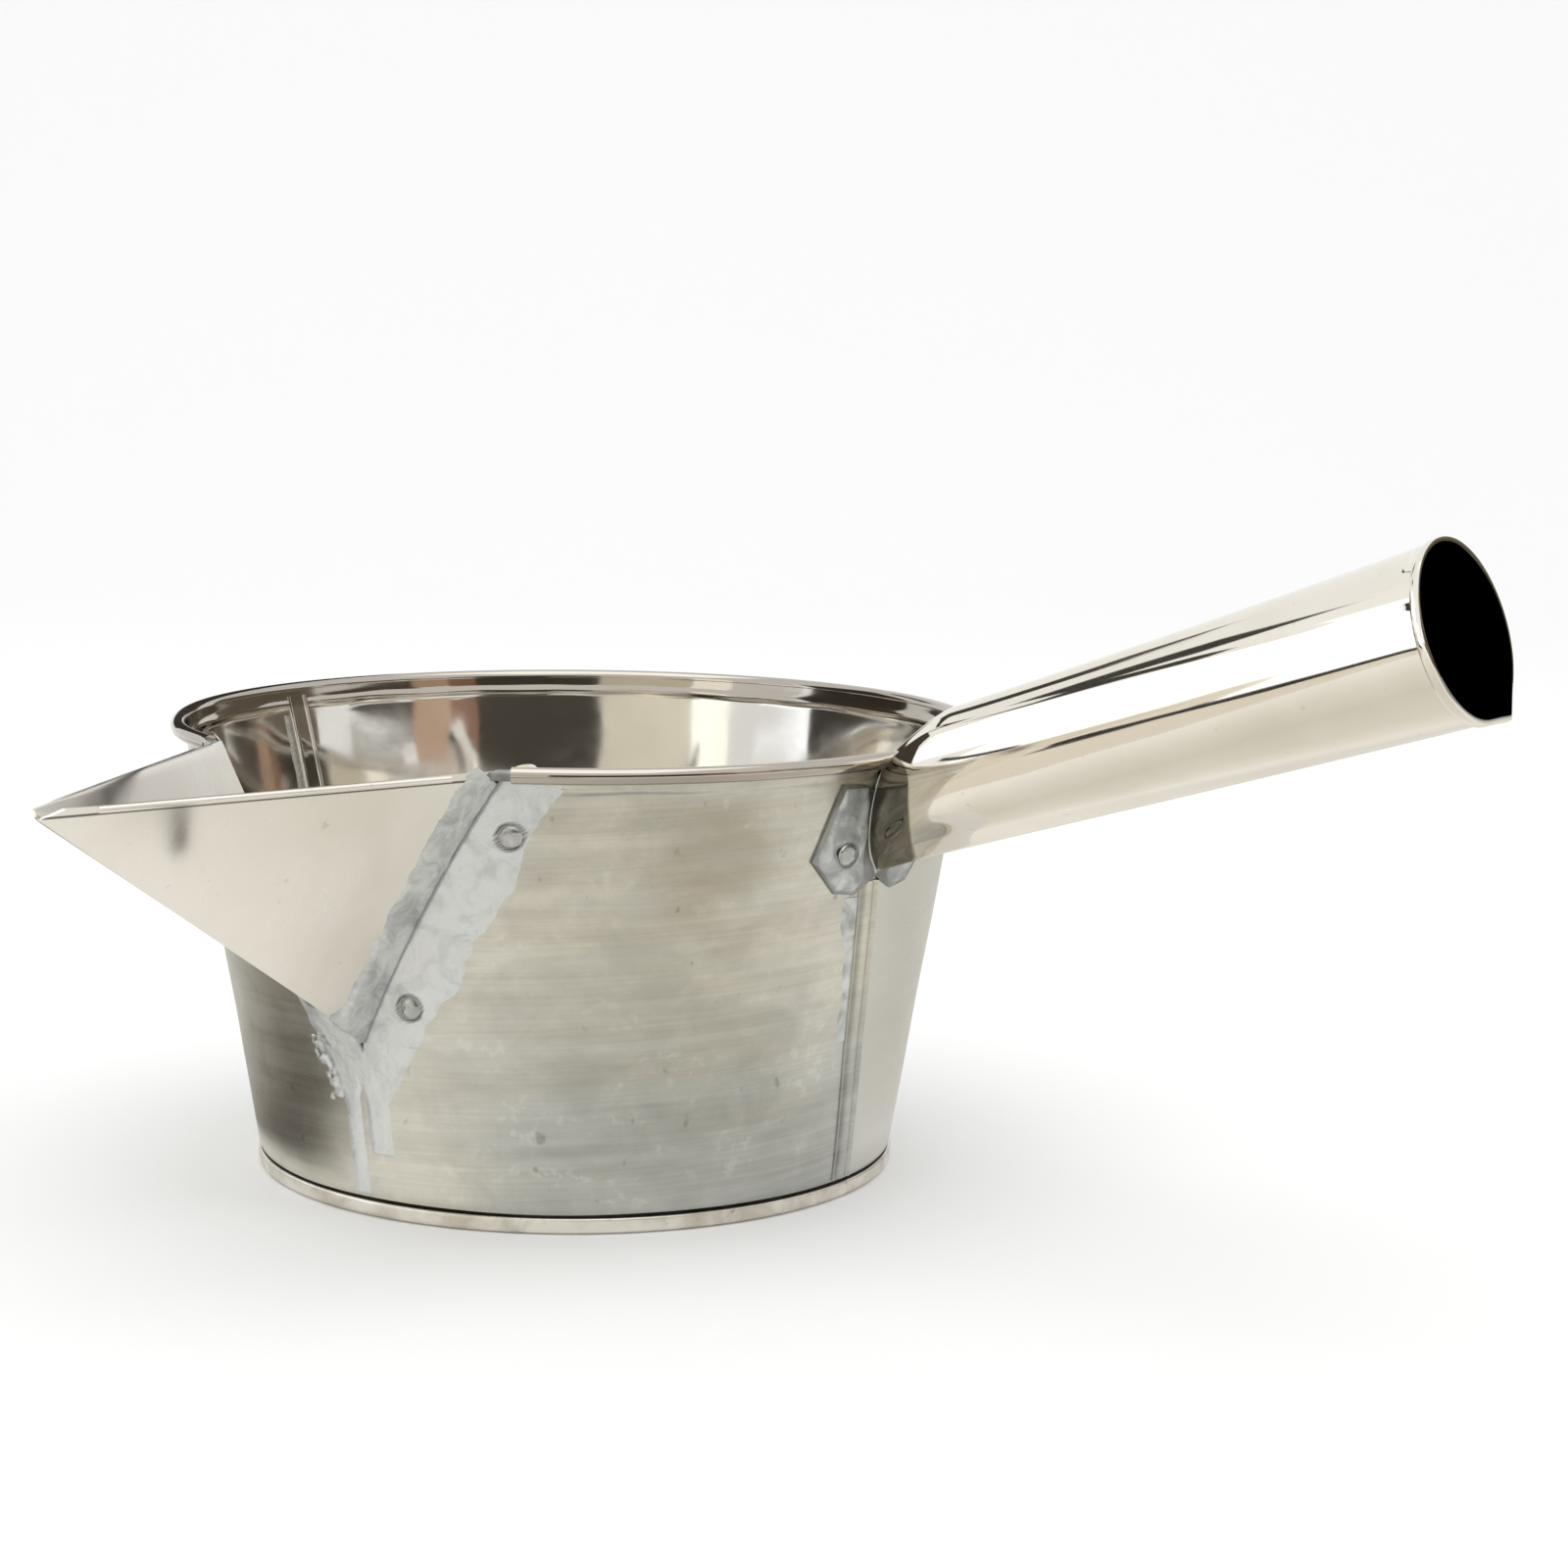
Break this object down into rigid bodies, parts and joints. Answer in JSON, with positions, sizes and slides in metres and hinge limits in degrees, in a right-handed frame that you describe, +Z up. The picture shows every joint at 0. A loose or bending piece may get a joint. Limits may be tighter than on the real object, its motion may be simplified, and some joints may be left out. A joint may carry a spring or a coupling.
{
  "type": "candle melting pot",
  "caption": "Small round sheet-metal pouring pot with flared wall, wired rim, deep folded V spout and an upswept hollow tapered handle, riveted and soldered.",
  "frame": {"origin": "centre of the underside, where the foot band rests on the bench", "axes": "+Z up, +X out along the handle, the spout points to about -Y"},
  "size_m": [0.291, 0.2409, 0.1404],
  "materials": {
    "brushed_shell": "brushed stainless sheet with heat tarnish and fine scratches",
    "polished_shell": "bright rolled stainless sheet, mirror-like inside",
    "wire_ends": "drawn steel wire, cut ends",
    "foot_band": "rubbed stainless sheet with small rust specks",
    "inner_solder": "dull tin solder fillet",
    "solder": "dull, wiped tin solder with uneven edges",
    "satin_spout": "satin stainless sheet, warm and even",
    "rivet_steel": "hammered rivet heads, partly tinned with solder",
    "mirror_handle": "mirror-polished stainless sheet",
    "ear_plate": "sheet ear tinned with solder"
  },
  "bodies": {
    "root": {"near_body_shell": "brushed_shell", "far_body_shell": "polished_shell", "rim_wire": "wire_ends", "base_pan": "foot_band", "base_seam_solder": "inner_solder", "handle_seam_solder": "solder", "far_seam_solder": "inner_solder", "spout_sheet": "satin_spout", "near_spout_rivets": "rivet_steel", "far_spout_rivets": "rivet_steel", "near_spout_solder": "solder", "far_spout_solder": "solder", "spout_run_solder": "solder", "handle_tube": "mirror_handle", "near_handle_ear": "ear_plate", "far_handle_ear": "ear_plate", "near_ear_rivet": "rivet_steel", "far_ear_rivet": "rivet_steel", "near_ear_solder": "solder", "far_ear_solder": "solder", "handle_root_solder": "solder"}
  },
  "joints": []
}
